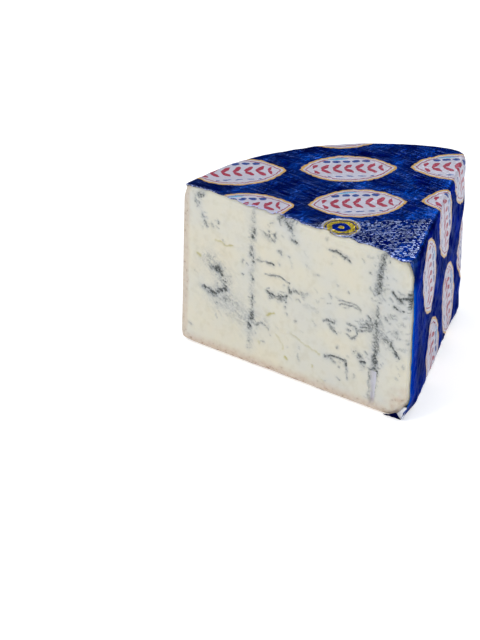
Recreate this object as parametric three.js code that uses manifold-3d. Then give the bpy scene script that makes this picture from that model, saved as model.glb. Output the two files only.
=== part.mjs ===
// Gorgonzola wedge: a quarter of a half-height wheel, standing on its rind. It is still in its foil
// wrapper on every side but the fresh cut, which shows the bare paste and the lines where the
// cheese was pierced with needles. The fresh cut faces -Y and the point of the wedge is at +X.
import * as THREE from 'three';
import { mergeVertices } from 'three/addons/utils/BufferGeometryUtils.js';
import Module from 'manifold-3d';

// Driving dimensions, in millimetres and degrees. The first four are measured over the wrapper.
const wheelRadius = 133;
const pointPastAxis = 12; // the two cuts meet this far beyond the wheel's axis
const wedgeAngle = THREE.MathUtils.degToRad(67.6);
const wedgeHeight = 91;
const wrapWall = 0.8; // foil, its white liner and the folds between them
const wrapGap = 0.3; // air between the liner and the rind
const wrapSetback = 1.2; // the fresh cut stands this far clear of the wrapper's cut edge
const raggedEdge = 0.7; // how far the wrapper's cut edge wanders to either side
// The wander is a product of two slow waves and a part of a fast one, by their lengths over 2π.
const edgeWander = { slow: 3.7, slower: 9.1, fast: 1.9, fastShare: 0.3, spacing: 4 };

// How round each upright edge is: the length along both faces that the rounding takes up.
const cheeseRounding = { rim: 3, side: 12.5, point: 9, pointAtEnds: 20 };
const wrapRounding = { rim: 2.5, side: 12, point: 8, pointAtTop: 15, pointAtFloor: 1.5 };
const cornerBall = 10; // height over which the point rounds off into the top and the bottom
const cornerPocket = 14; // height up to which the wrapper stands off the point as an ear
const topEdgeRadius = 2;
const bottomEdgeRadius = 2.6;

// Mesh spacing: divisions of each stretch of the outline, and of the height.
const cheeseDivisions = { cut: 54, corner: 4, side: 8, rim: 14, height: 24, edge: 3 };
const wrapDivisions = { cut: 8, corner: 5, side: 12, rim: 20, height: 12, edge: 3 };

// The slow waves that a cutting wire leaves in soft paste: how deep they lie below the flat cut,
// and how high and how long each is, along the cut and up it.
const wireWaves = {
  meanDepth: 0.3,
  long: { height: 0.18, along: 11, up: 17 },
  short: { height: 0.12, along: 4.3, up: -6.1 },
};
const cutBand = 1; // the relief fades out within this distance behind the flat cut
const channelFade = { bottom: 2, top: 3 }; // length over which a channel's end runs out

// The pierced channels that the fresh cut laid open, with heights above the base.
const needleChannels = [
  { fromPoint: 21.5, bottom: 8, top: 24, width: 4.6, depth: 2.2 },
  { fromPoint: 20.5, bottom: 26, top: 58, width: 3, depth: 1.1 },
  { fromPoint: 20, bottom: 65, top: 83, width: 3, depth: 0.9 },
  { fromPoint: 100, bottom: 14, top: 80, width: 3, depth: 0.7 },
];
// Small holes and torn spots in the paste, round or long, across the fresh cut.
const pasteHollows = [
  { fromPoint: 78, height: 78, length: 9, width: 3.5, slope: -0.5, depth: 0.9 },
  { fromPoint: 91, height: 72, length: 6, width: 3, slope: 0.2, depth: 0.8 },
  { fromPoint: 84, height: 55, length: 13, width: 3, slope: 0.3, depth: 0.9 },
  { fromPoint: 124, height: 42, length: 18, width: 7, slope: -1.0, depth: 1.2 },
  { fromPoint: 33, height: 44, length: 10, width: 4, slope: 0.6, depth: 0.9 },
  { fromPoint: 7, height: 62, length: 6, width: 5, slope: -0.8, depth: 1.1 },
];

const mergeDistance = 1e-4; // points nearer than this are one point
const pasteFinish = { color: 0xe9e6da, roughness: 0.6, metalness: 0 };
const foilFinish = { color: 0x16318c, roughness: 0.35, metalness: 0.6 };

const wrapThickness = wrapGap + wrapWall;
const up = { x: Math.cos(wedgeAngle), y: Math.sin(wedgeAngle) };

// A smooth step from 0 to 1 as value passes from start to end.
function ramp(value, start, end) {
  return THREE.MathUtils.smoothstep(value, start, end);
}

// The outline of a slice through the wedge, inset from the wrapper on the rim and on the side cut.
// The wedge's point lies at the origin and the fresh cut runs along -X from it. Each stretch of the
// outline is sampled with the given divisions, so every height has the same number of points.
function outline(inset, rounding, divisions) {
  const radius = wheelRadius - inset;
  const point = new THREE.Vector2(-inset / Math.sin(wedgeAngle), 0);
  const rimEnd = new THREE.Vector2(-pointPastAxis - radius, 0);
  const offAxis = point.x + pointPastAxis;
  const sideLength = offAxis * up.x + Math.sqrt(radius ** 2 - (offAxis * up.y) ** 2);
  const sideEnd = new THREE.Vector2(point.x - sideLength * up.x, sideLength * up.y);

  const startAngle = Math.atan2(sideEnd.y, sideEnd.x + pointPastAxis) + rounding.side / radius;
  const endAngle = Math.PI - rounding.rim / radius;
  const onRim = (angle) => new THREE.Vector2(
    -pointPastAxis + radius * Math.cos(angle), radius * Math.sin(angle));
  const onSide = (distance) => new THREE.Vector2(
    point.x - distance * up.x, distance * up.y);

  const cutStart = new THREE.Vector2(rimEnd.x + rounding.rim, 0);
  const cutEnd = new THREE.Vector2(point.x - rounding.point, 0);
  const sideStart = onSide(rounding.point);
  const sideStop = onSide(sideLength - rounding.side);
  const stretches = [
    [new THREE.LineCurve(cutStart, cutEnd), divisions.cut],
    [new THREE.QuadraticBezierCurve(cutEnd, point, sideStart), divisions.corner],
    [new THREE.LineCurve(sideStart, sideStop), divisions.side],
    [new THREE.QuadraticBezierCurve(sideStop, sideEnd, onRim(startAngle)), divisions.corner],
    [new THREE.EllipseCurve(
      -pointPastAxis, 0, radius, radius, startAngle, endAngle, false), divisions.rim],
    [new THREE.QuadraticBezierCurve(onRim(endAngle), rimEnd, cutStart), divisions.corner],
  ];
  return stretches.flatMap(([curve, count]) => curve.getPoints(count).slice(0, -1));
}

// Heights and side insets of the rings that build a body up: a rounded bottom edge, the upright
// wall and a rounded top edge.
function rings(bottom, top, divisions) {
  const levels = [];
  for (let i = 0; i <= divisions.edge; i += 1) {
    const turn = (i / divisions.edge) * Math.PI / 2;
    levels.push({
      inset: bottomEdgeRadius * (1 - Math.sin(turn)),
      height: bottom + bottomEdgeRadius * (1 - Math.cos(turn)),
    });
  }
  const wallBottom = bottom + bottomEdgeRadius;
  const wallTop = top - topEdgeRadius;
  for (let i = 1; i < divisions.height; i += 1) {
    levels.push({ inset: 0, height: THREE.MathUtils.lerp(wallBottom, wallTop, i / divisions.height) });
  }
  for (let i = 0; i <= divisions.edge; i += 1) {
    const turn = (i / divisions.edge) * Math.PI / 2;
    levels.push({
      inset: topEdgeRadius * (1 - Math.cos(turn)),
      height: wallTop + topEdgeRadius * Math.sin(turn),
    });
  }
  return levels;
}

// A closed body from rings of points, each the same length, with a fan over each end.
function bodyFromRings(ringPoints) {
  const count = ringPoints[0].length;
  const positions = ringPoints.flat().flatMap((p) => [p.x, p.y, p.z]);
  const faces = [];
  for (let k = 0; k + 1 < ringPoints.length; k += 1) {
    for (let i = 0; i < count; i += 1) {
      const next = (i + 1) % count;
      const low = k * count;
      const high = low + count;
      faces.push(low + i, low + next, high + next, low + i, high + next, high + i);
    }
  }
  const lastRing = (ringPoints.length - 1) * count;
  for (const [ring, start] of [[ringPoints[0], 0], [ringPoints.at(-1), lastRing]]) {
    const middle = ring.reduce((sum, p) => sum.add(p), new THREE.Vector3()).divideScalar(count);
    const hub = positions.length / 3;
    positions.push(middle.x, middle.y, middle.z);
    for (let i = 0; i < count; i += 1) {
      const next = (i + 1) % count;
      if (start === 0) faces.push(hub, start + next, start + i);
      else faces.push(hub, start + i, start + next);
    }
  }
  const geometry = new THREE.BufferGeometry();
  geometry.setAttribute('position', new THREE.Float32BufferAttribute(positions, 3));
  geometry.setIndex(faces);
  return geometry;
}

// How deep the fresh cut lies below its flat plane: the waves the wire left, the opened needle
// channels, and the hollows.
function cutDepth(fromPoint, height) {
  let depth = wireWaves.meanDepth;
  for (const wave of [wireWaves.long, wireWaves.short]) {
    depth += wave.height * Math.sin(fromPoint / wave.along + height / wave.up);
  }
  for (const channel of needleChannels) {
    const across = (fromPoint - channel.fromPoint) / (channel.width / 2);
    const { bottom, top } = channelFade;
    const along = ramp(height, channel.bottom - bottom, channel.bottom + bottom)
      * (1 - ramp(height, channel.top - top, channel.top + top));
    depth += channel.depth * Math.exp(-(across ** 2)) * along;
  }
  for (const hollow of pasteHollows) {
    const tilt = Math.atan(hollow.slope);
    const right = hollow.fromPoint - fromPoint;
    const above = height - hollow.height;
    const along = (right * Math.cos(tilt) + above * Math.sin(tilt)) / (hollow.length / 2);
    const across = (above * Math.cos(tilt) - right * Math.sin(tilt)) / (hollow.width / 2);
    depth += hollow.depth * Math.exp(-(along ** 2) - across ** 2);
  }
  return depth;
}

// The paste and its rind. Rounding grows towards the top and the bottom, so the point of the wedge
// ends in a soft ball at each corner.
function cheeseGeometry() {
  const bottom = wrapThickness;
  const top = wedgeHeight - wrapThickness;
  const ringPoints = rings(bottom, top, cheeseDivisions).map(({ inset, height }) => {
    const nearEnd = Math.max(
      1 - ramp(height, bottom, bottom + cornerBall), ramp(height, top - cornerBall, top));
    const { rim, side, point, pointAtEnds } = cheeseRounding;
    const rounding = { rim, side, point: THREE.MathUtils.lerp(point, pointAtEnds, nearEnd) };
    return outline(wrapThickness + inset, rounding, cheeseDivisions).map(({ x, y }) => {
      const onCut = y < cutBand ? cutDepth(-x, height) * (1 - y / cutBand) : 0;
      return new THREE.Vector3(x, y + inset * Math.max(0, 1 - y / bottomEdgeRadius) + onCut, height);
    });
  });
  return bodyFromRings(ringPoints);
}

// The wrapper's outer or inner skin, closed at the fresh cut until the wrapper is cut open. Low
// on the point it keeps a sharp corner, which stands off the rounded cheese as an ear.
function wrapSkin(inset, bottom, top) {
  const ringPoints = rings(bottom, top, wrapDivisions).map((level) => {
    const { rim, side, point, pointAtTop, pointAtFloor } = wrapRounding;
    const nearTop = ramp(level.height, wedgeHeight - cornerBall, wedgeHeight);
    const nearFloor = 1 - ramp(level.height, 0, cornerPocket);
    const rounding = {
      rim, side, point: point + (pointAtTop - point) * nearTop + (pointAtFloor - point) * nearFloor,
    };
    const freeEdge = wrapThickness + 2 * (wrapSetback + raggedEdge);
    return outline(inset + level.inset, rounding, wrapDivisions).map(({ x, y }) => {
      const forward = y < mergeDistance ? freeEdge : 0;
      return new THREE.Vector3(x, y - forward, level.height);
    });
  });
  return bodyFromRings(ringPoints);
}

// Everything in front of the wrapper's cut edge, which wanders as a knife leaves it.
function openingGeometry() {
  const reach = 2 * wheelRadius;
  const { slow, slower, fast, fastShare, spacing } = edgeWander;
  const shape = new THREE.Shape();
  shape.moveTo(-reach, -reach);
  shape.lineTo(reach, -reach);
  shape.lineTo(reach, wrapSetback);
  for (let x = reach - spacing; x > -reach; x -= spacing) {
    const wander = Math.sin(x / slow) * Math.sin(x / slower + 1) + fastShare * Math.sin(x / fast);
    shape.lineTo(x, wrapSetback + raggedEdge * wander);
  }
  shape.lineTo(-reach, wrapSetback);
  const geometry = new THREE.ExtrudeGeometry(
    shape, { depth: 2 * wedgeHeight, bevelEnabled: false });
  return geometry.translate(0, 0, -wedgeHeight / 2);
}

const wasm = await Module();
wasm.setup();

// A closed three.js geometry as a manifold solid.
function toSolid(geometry) {
  const bare = geometry.clone();
  bare.deleteAttribute('normal');
  bare.deleteAttribute('uv');
  const merged = mergeVertices(bare, mergeDistance);
  return new wasm.Manifold(new wasm.Mesh({
    numProp: 3,
    vertProperties: new Float32Array(merged.attributes.position.array),
    triVerts: new Uint32Array(merged.index.array),
  }));
}

function toGeometry(solid) {
  const mesh = solid.getMesh();
  const geometry = new THREE.BufferGeometry();
  geometry.setAttribute('position', new THREE.BufferAttribute(mesh.vertProperties, 3));
  geometry.setIndex(new THREE.BufferAttribute(mesh.triVerts, 1));
  return geometry;
}

// The wrapper: outer skin less inner skin, cut open at the fresh cut.
function wrapGeometry() {
  const outer = toSolid(wrapSkin(0, 0, wedgeHeight));
  const inner = toSolid(wrapSkin(wrapWall, wrapWall, wedgeHeight - wrapWall));
  return toGeometry(outer.subtract(inner).subtract(toSolid(openingGeometry())));
}

function part(name, geometry, material) {
  const mesh = new THREE.Mesh(geometry, new THREE.MeshStandardMaterial(material));
  mesh.name = name;
  return mesh;
}

const cheese = part('cheese', cheeseGeometry(), pasteFinish);
const foilWrap = part('foil_wrap', wrapGeometry(), foilFinish);

// The origin is the middle of the base.
const wedge = new THREE.Group();
wedge.add(cheese, foilWrap);
const box = new THREE.Box3().setFromObject(wedge);
const middle = box.getCenter(new THREE.Vector3());
wedge.position.set(-middle.x, -middle.y, -box.min.z);

export default wedge;
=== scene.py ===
# Gorgonzola wedge: a quarter of a half-height wheel, standing on its rind in printed blue foil.
# The fresh cut faces -Y and shows the bare paste, veined with blue mould. The point is at +X.
import math
import random

import bpy
import numpy as np
from mathutils import Matrix, Vector, noise


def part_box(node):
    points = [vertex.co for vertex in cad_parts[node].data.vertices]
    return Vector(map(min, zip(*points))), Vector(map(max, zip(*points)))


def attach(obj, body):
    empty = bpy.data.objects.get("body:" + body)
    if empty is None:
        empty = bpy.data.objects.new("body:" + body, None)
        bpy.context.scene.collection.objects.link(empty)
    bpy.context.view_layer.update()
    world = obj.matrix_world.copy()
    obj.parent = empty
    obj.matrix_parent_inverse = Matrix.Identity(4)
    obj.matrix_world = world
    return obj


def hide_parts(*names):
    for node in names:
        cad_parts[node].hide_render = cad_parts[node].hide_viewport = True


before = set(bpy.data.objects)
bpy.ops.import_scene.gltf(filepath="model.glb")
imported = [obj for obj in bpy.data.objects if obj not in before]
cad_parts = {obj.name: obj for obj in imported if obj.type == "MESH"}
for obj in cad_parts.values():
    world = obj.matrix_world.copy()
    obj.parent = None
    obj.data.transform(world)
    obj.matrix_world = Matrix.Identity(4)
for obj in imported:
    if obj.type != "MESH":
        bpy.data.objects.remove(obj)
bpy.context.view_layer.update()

MM = 0.001
SAME_PLACE = 0.01 * MM

# Where things lie, in metres, from the frame. The wedge's point follows from the wrapper's box,
# from the length of the fresh cut and from the angle between the two cuts.
CUT_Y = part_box("cheese")[0].y
wrap_low, wrap_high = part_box("foil_wrap")
WRAP_TOP = wrap_high.z
CUT_LENGTH = 145 * MM
WEDGE_ANGLE = math.radians(67.6)
POINT = np.array([wrap_low.x + CUT_LENGTH, CUT_Y, 0])
WHEEL_RADIUS = 133 * MM
AXIS_TO_POINT = 12 * MM
WHEEL_AXIS = POINT - (AXIS_TO_POINT, 0, 0)
SIDE_NORMAL = np.array([math.sin(WEDGE_ANGLE), math.cos(WEDGE_ANGLE), 0])
MIDDLE = np.array([0, 0, WRAP_TOP / 2])
SIDE_WAY = np.array([-math.cos(WEDGE_ANGLE), math.sin(WEDGE_ANGLE)])
# The wrapper turns round the wedge's point on this radius, which touches both cuts.
ROUND_TANGENT = 8 * MM
ROUND_RADIUS = ROUND_TANGENT * math.tan(WEDGE_ANGLE / 2)
ROUND_MIDDLE = POINT[:2] + ROUND_TANGENT * SIDE_WAY - ROUND_RADIUS * SIDE_NORMAL[:2]
# The corners at the wedge's point are worn round a place this far inside it. At the top, wrapper
# and cheese are worn down together.
WEAR_INSIDE = 3 * MM
TOP_WEAR = 1.6 * MM
TOP_WEAR_REACH = 14 * MM


# ---------------------------------------------------------------------------------------------
# Small tools
# ---------------------------------------------------------------------------------------------

def linear(hex_colour):
    """An sRGB hex colour as the linear values that shaders take."""
    parts = [int(hex_colour[i:i + 2], 16) / 255 for i in (1, 3, 5)]
    return tuple(c / 12.92 if c <= 0.04045 else ((c + 0.055) / 1.055) ** 2.4 for c in parts) + (1,)


def only(piece):
    """Makes this piece the one that operators act on."""
    if bpy.context.mode != "OBJECT":
        bpy.ops.object.mode_set(mode="OBJECT")
    bpy.ops.object.select_all(action="DESELECT")
    piece.select_set(True)
    bpy.context.view_layer.objects.active = piece


def finish_with(piece, kind, **settings):
    """Adds a modifier with its settings and applies it."""
    only(piece)
    modifier = piece.modifiers.new(kind.lower(), kind)
    for key, value in settings.items():
        setattr(modifier, key, value)
    bpy.ops.object.modifier_apply(modifier=modifier.name)


def read(collection, name, width=3):
    """One value of every point, corner or face of a mesh, as the rows of an array."""
    values = np.empty(len(collection) * width)
    collection.foreach_get(name, values)
    return values.reshape(-1, width)


def move_points(mesh, places):
    """Puts each point of a mesh at its place."""
    mesh.vertices.foreach_set("co", places.astype(np.float32).ravel())
    mesh.update()


def paint(mesh, name, values):
    """Keeps a value from 0 to 1 at each point, for a material to read."""
    layer = mesh.attributes.new(name, "FLOAT", "POINT")
    layer.data.foreach_set("value", values.astype(np.float32))


def ramp(value, start, end):
    """A smooth step from 0 to 1 as value passes from start to end."""
    t = np.clip((value - start) / (end - start), 0, 1)
    return t * t * (3 - 2 * t)


def lumps(places, size, seed=0.0):
    """Smooth noise from -1 to 1 at each place, in lumps of about the given size."""
    shift = Vector((seed, 1.7 * seed, -seed))
    scale = np.broadcast_to(1 / np.asarray(size, float), places.shape)
    return np.array([noise.noise(Vector(p) + shift) for p in places * scale])


def worn_corner(places, height, reach):
    """How much each place is worn, from 1 near the wedge's upright edge at this height to 0 beyond
    the reach."""
    inward = POINT[0] - WEAR_INSIDE - places[:, 0]
    return np.clip(1 - np.hypot(inward, places[:, 2] - height) / reach, 0, 1)


def top_wear(places):
    """How far each place is worn down at the top of the wedge's point."""
    return TOP_WEAR * worn_corner(places, WRAP_TOP, TOP_WEAR_REACH)


def copy_of_node(node, name):
    """A merged copy of a CAD node's mesh, as a new piece."""
    piece = bpy.data.objects.new(name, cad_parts[node].data.copy())
    bpy.context.scene.collection.objects.link(piece)
    piece.data.materials.clear()
    only(piece)
    bpy.ops.object.mode_set(mode="EDIT")
    bpy.ops.mesh.select_all(action="SELECT")
    bpy.ops.mesh.remove_doubles(threshold=SAME_PLACE)
    bpy.ops.object.mode_set(mode="OBJECT")
    return piece


def soften(piece, weights, times):
    """Relaxes a mesh where the weights are high, which rounds its folds off."""
    group = piece.vertex_groups.new(name="soft")
    for index, weight in enumerate(weights):
        group.add([index], weight, "REPLACE")
    finish_with(piece, "SMOOTH", factor=0.5, iterations=times, vertex_group="soft")
    piece.vertex_groups.clear()


def pick_faces(piece, chosen):
    """Selects the faces where chosen is true, and nothing else, and goes into edit mode."""
    only(piece)
    bpy.ops.object.mode_set(mode="EDIT")
    bpy.ops.mesh.select_mode(type="FACE")
    bpy.ops.mesh.select_all(action="DESELECT")
    bpy.ops.object.mode_set(mode="OBJECT")
    piece.data.polygons.foreach_set("select", np.asarray(chosen, bool))
    bpy.ops.object.mode_set(mode="EDIT")


# ---------------------------------------------------------------------------------------------
# Camera, floor and light
# ---------------------------------------------------------------------------------------------

# The camera: its turns, its distance in metres and its focal length in pixels of the image. It
# aims beside the wedge's point.
CAMERA_YAW = math.radians(-35.885)
CAMERA_PITCH = math.radians(28.0)
CAMERA_ROLL = math.radians(1.608)
CAMERA_DISTANCE = 1.81382
IMAGE_WIDTH = 480
FOCAL_PIXELS = 3591.5
SENSOR_WIDTH = 36.0
AIM_RIGHT = -84.76 * MM
AIM_UP = 53.36 * MM
CAMERA_SEES_TO = 20
# Each lamp's place, its width and its power in watts.
LAMPS = {"key": ((-0.35, -0.95, 0.95), 0.6, 6.0), "fill": ((1.1, -0.3, 0.7), 0.8, 4.0),
         "back": ((-0.3, 1.0, 1.0), 0.5, 4.0)}
FLOOR_WIDTH = 12


def add_camera():
    """A long lens from the right of the cut, looking down at the wedge's point."""
    ahead = Vector((math.sin(CAMERA_YAW) * math.cos(CAMERA_PITCH),
                    math.cos(CAMERA_YAW) * math.cos(CAMERA_PITCH), -math.sin(CAMERA_PITCH)))
    level = Vector((math.cos(CAMERA_YAW), -math.sin(CAMERA_YAW), 0))
    upright = level.cross(ahead)
    right = math.cos(CAMERA_ROLL) * level + math.sin(CAMERA_ROLL) * upright
    above = math.cos(CAMERA_ROLL) * upright - math.sin(CAMERA_ROLL) * level
    aim = Vector(POINT) + AIM_RIGHT * right + AIM_UP * above
    data = bpy.data.cameras.new("camera")
    data.sensor_fit = "HORIZONTAL"
    data.sensor_width = SENSOR_WIDTH
    data.lens = FOCAL_PIXELS / IMAGE_WIDTH * SENSOR_WIDTH
    data.clip_end = CAMERA_SEES_TO
    camera = bpy.data.objects.new("camera", data)
    bpy.context.scene.collection.objects.link(camera)
    turn = Matrix((right, above, -ahead)).transposed().to_4x4()
    camera.matrix_world = Matrix.Translation(aim - CAMERA_DISTANCE * ahead) @ turn
    bpy.context.scene.camera = camera


def add_light(name, place, size, power):
    """A round soft light that looks at the wedge."""
    data = bpy.data.lights.new(name, "AREA")
    data.shape = "DISK"
    data.size = size
    data.energy = power
    lamp = bpy.data.objects.new(name, data)
    bpy.context.scene.collection.objects.link(lamp)
    place = Vector(place)
    turn = (Vector(MIDDLE) - place).to_track_quat("-Z", "Y").to_matrix().to_4x4()
    lamp.matrix_world = Matrix.Translation(place) @ turn


def add_studio():
    """A white paper floor under a bright ceiling and three soft lamps."""
    world = bpy.data.worlds.new("studio")
    bpy.context.scene.world = world
    world.use_nodes = True
    world.node_tree.nodes.clear()
    # Bright overhead and dim near the horizon, like a room with a wide soft box in its ceiling.
    sky = add(world, "TexCoord", out="Generated")
    sky = add(world, "SeparateXYZ", {0: sky}, out="Z")
    sky = add(world, "MapRange", {
        "Value": sky, "From Min": 0.45, "From Max": 0.8, "To Min": 0.4, "To Max": 1.0})
    sky = add(world, "Background", {"Color": linear("#F2F5FA"), "Strength": sky})
    add(world, "OutputWorld", {"Surface": sky})
    for name, (place, size, power) in LAMPS.items():
        add_light(name, place, size, power)
    bpy.context.scene.view_settings.view_transform = "Standard"

    bpy.ops.mesh.primitive_plane_add(size=FLOOR_WIDTH, location=(0, 0, 0))
    floor = bpy.context.object
    floor.name = "floor"
    # Matt paper glows a little, so that it stays white up to the horizon.
    paper = bpy.data.materials.new("matt white paper sweep")
    paper.use_nodes = True
    shader = paper.node_tree.nodes["Principled BSDF"]
    shader.inputs["Base Color"].default_value = linear("#DEDEDE")
    shader.inputs["Roughness"].default_value = 0.9
    shader.inputs["Emission Color"].default_value = linear("#FFFFFF")
    shader.inputs["Emission Strength"].default_value = 0.45
    floor.data.materials.append(paper)


# ---------------------------------------------------------------------------------------------
# Materials
# ---------------------------------------------------------------------------------------------

# What is painted on the cheese, point by point: mould, its bloom, paste that it has turned cooler,
# the open needle channel, butter-yellow cracks, and rind, which along the base holds painted shade.
CHEESE_PAINTED = ("mould", "bloom", "cool", "groove", "butter", "rind")
# And on the foil: painted sheen where it is tight, painted hem shade, a painted cut-edge highlight.
FOIL_PAINTED = ("painted_point_sheen", "painted_hem_shade", "painted_cut_glint")


def new_material(name):
    """A material with no nodes yet."""
    material = bpy.data.materials.new(name)
    material.use_nodes = True
    material.node_tree.nodes.clear()
    return material


def add(owner, kind, links=None, out=0, stops=None, **settings):
    """Adds a shader node to a material or the world: settings are its properties, links its
    inputs, as sockets or values, and stops the colours of a colour ramp. Gives its output of that
    name or number, if it has outputs."""
    tree = owner.node_tree
    made = tree.nodes.new("ShaderNode" + kind)
    for key, value in settings.items():
        setattr(made, key, value)
    for key, value in (links or {}).items():
        socket = made.inputs[key]
        if isinstance(value, bpy.types.NodeSocket):
            tree.links.new(value, socket)
        else:
            socket.default_value = value
    if stops:
        colours = made.color_ramp
        while len(colours.elements) < len(stops):
            colours.elements.new(1.0)
        for element, (place, colour) in zip(colours.elements, stops):
            element.position = place
            element.color = linear(colour) if isinstance(colour, str) else (colour,) * 3 + (1,)
    return made.outputs[out] if made.outputs else None


def cheese_material():
    """Soft, moist, close paste: light goes a little way into it, so its edges look creamy. The
    mould is a powdery blue-green growth in thin cracks, dark in the middle with a grey bloom. Each
    noise's scale is its number of grains in a millimetre."""
    material = new_material("gorgonzola paste with blue mould")
    place = add(material, "TexCoord", out="Object")
    mould, bloom, cool, groove, butter, rind = [
        add(material, "Attribute", attribute_name=name, out="Fac") for name in CHEESE_PAINTED]

    # Paste: ivory, with slow clouds 25 mm across and curd grains of 4 mm, both faint. It is
    # creamier away from the mould and whiter near it, and butter-yellow in a few cracks.
    clouds = add(material, "TexNoise", {"Vector": place, "Scale": 0.04 / MM, "Detail": 3.0})
    clouds = add(material, "Math", {0: cool, 1: 0.3, 2: clouds}, operation="MULTIPLY_ADD")
    curds = add(material, "TexNoise", {"Vector": place, "Scale": 0.25 / MM, "Detail": 4.0})
    paste = add(material, "ValToRGB", {"Fac": clouds}, stops=[
        (0.36, "#CFC9B6"), (0.55, "#CBC8BA"), (0.85, "#C2C3BF")])
    grains = add(material, "ValToRGB", {"Fac": curds}, stops=[
        (0.3, "#EAE6DA"), (0.5, "#FFFFFF"), (0.7, "#FFFEFA")])
    paste = add(material, "Mix", {0: 0.35, 6: paste, 7: grains},
                data_type="RGBA", blend_type="MULTIPLY", out=2)

    # Bloom and mould. Grain of 0.8 mm breaks their edges up into specks.
    specks = add(material, "TexNoise", {
        "Vector": place, "Scale": 1.2 / MM, "Detail": 3.0, "Roughness": 0.7})
    uneven = add(material, "MapRange", {
        "Value": specks, "From Min": 0.3, "From Max": 0.7, "To Min": 0.45, "To Max": 1.55})
    growth = add(material, "Math", {0: uneven, 1: mould}, operation="MULTIPLY")
    haze = add(material, "Math", {0: uneven, 1: bloom}, operation="MULTIPLY")
    depth = add(material, "ValToRGB", {"Fac": growth}, stops=[(0.06, 0.0), (0.4, 0.5), (0.9, 0.92)])
    dark = add(material, "ValToRGB", {"Fac": growth}, stops=[
        (0.1, "#8B9094"), (0.45, "#666C6E"), (0.85, "#2E3434")])
    # Rind: tan skin with brown specks of 2.4 mm, which along the base also stands for painted
    # shade.
    skin = add(material, "TexNoise", {"Vector": place, "Scale": 0.42 / MM, "Detail": 4.0})
    skin = add(material, "ValToRGB", {"Fac": skin}, stops=[
        (0.3, "#8A6856"), (0.4, "#B8A491"), (0.65, "#C3B4A5")])
    for amount, tint in ((butter, linear("#A9A052")), (haze, linear("#979B9F")),
                         (groove, linear("#C8C7D1")), (depth, dark), (rind, skin)):
        paste = add(material, "Mix", {0: amount, 6: paste, 7: tint}, data_type="RGBA", out=2)

    # Relief too fine for the mesh: pores of 1.4 mm and the roughness of the mould.
    fine = add(material, "TexNoise", {
        "Vector": place, "Scale": 0.7 / MM, "Detail": 5.0, "Roughness": 0.6})
    relief = add(material, "Bump", {"Height": fine, "Strength": 0.35, "Distance": 0.25 * MM})
    relief = add(material, "Bump", {
        "Height": specks, "Strength": 0.3, "Distance": 0.2 * MM, "Normal": relief})
    surface = add(material, "BsdfPrincipled", {
        "Base Color": paste, "Roughness": 0.5, "IOR": 1.45, "Normal": relief,
        "Subsurface Weight": 0.35, "Subsurface Radius": (1.0, 0.8, 0.5),
        "Subsurface Scale": 2.0 * MM})
    add(material, "OutputMaterial", {"Surface": surface})
    return material


# The print, in millimetres on the sheet: rows of pointed fields on a straight grid. A field is the
# overlap of two circles. Near the wedge's point the rows make room for a block of fine dashes,
# which lies between the last row and the fold, and the sheet is plain where it turns round there.
# Places on the sheet are kept in units of this many millimetres.
SHEET_UNIT = 100
PRINT_TURN = math.radians(42)
FIELD_ROOM = (29, 20)
FIELD_SHIFT = (-8, 14)
FIELD_RADIUS = 28.7
FIELD_OFFSET = 13.2
# Across a field's border: how far inside it and outside it the rings of ink are set out.
BORDER_INSIDE = 6
BORDER_OUTSIDE = 1
# Half the distance from leaf to leaf and from oval to oval, and a distance that no field reaches.
LEAF_STEP = 3
BEAD_STEP = 2.6
BEYOND_FIELD = 50
BLOCK_EDGE = -46
BLOCK_END = -84
FOLD_SLOPE = -0.3556
FOLD_PLACE = 43.5
DASH_ROW = 1.5
DASH_HEIGHT = 0.85
# Noise along each row makes its dashes: how fine it is, from what value on it is drawn, and how
# strongly. Under them the block's lacquer is darker by this share.
DASH_GRAIN = (0.6, 4.7, 0)
DASHES_FROM = 0.49
DASH_STRENGTH = 0.62
BLOCK_SHADE = 0.55
ROUNDEL = (-19.6, -51.8)
ROUNDEL_RADIUS = 10.1
ROUNDEL_EDGE = 0.86
PLAIN_BELOW = -86
PLAIN_UP_TO = 137
PRINT_WAVER = 2.2
FACET_WAVER = 14
# Long creases run along the sheet, turned by this much.
CREASE_TURN = math.radians(25)
PALE_INK = "#B4B2BE"
ROUNDEL_GOLD = "#B09C36"
ROUNDEL_NAVY = "#152C78"


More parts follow.
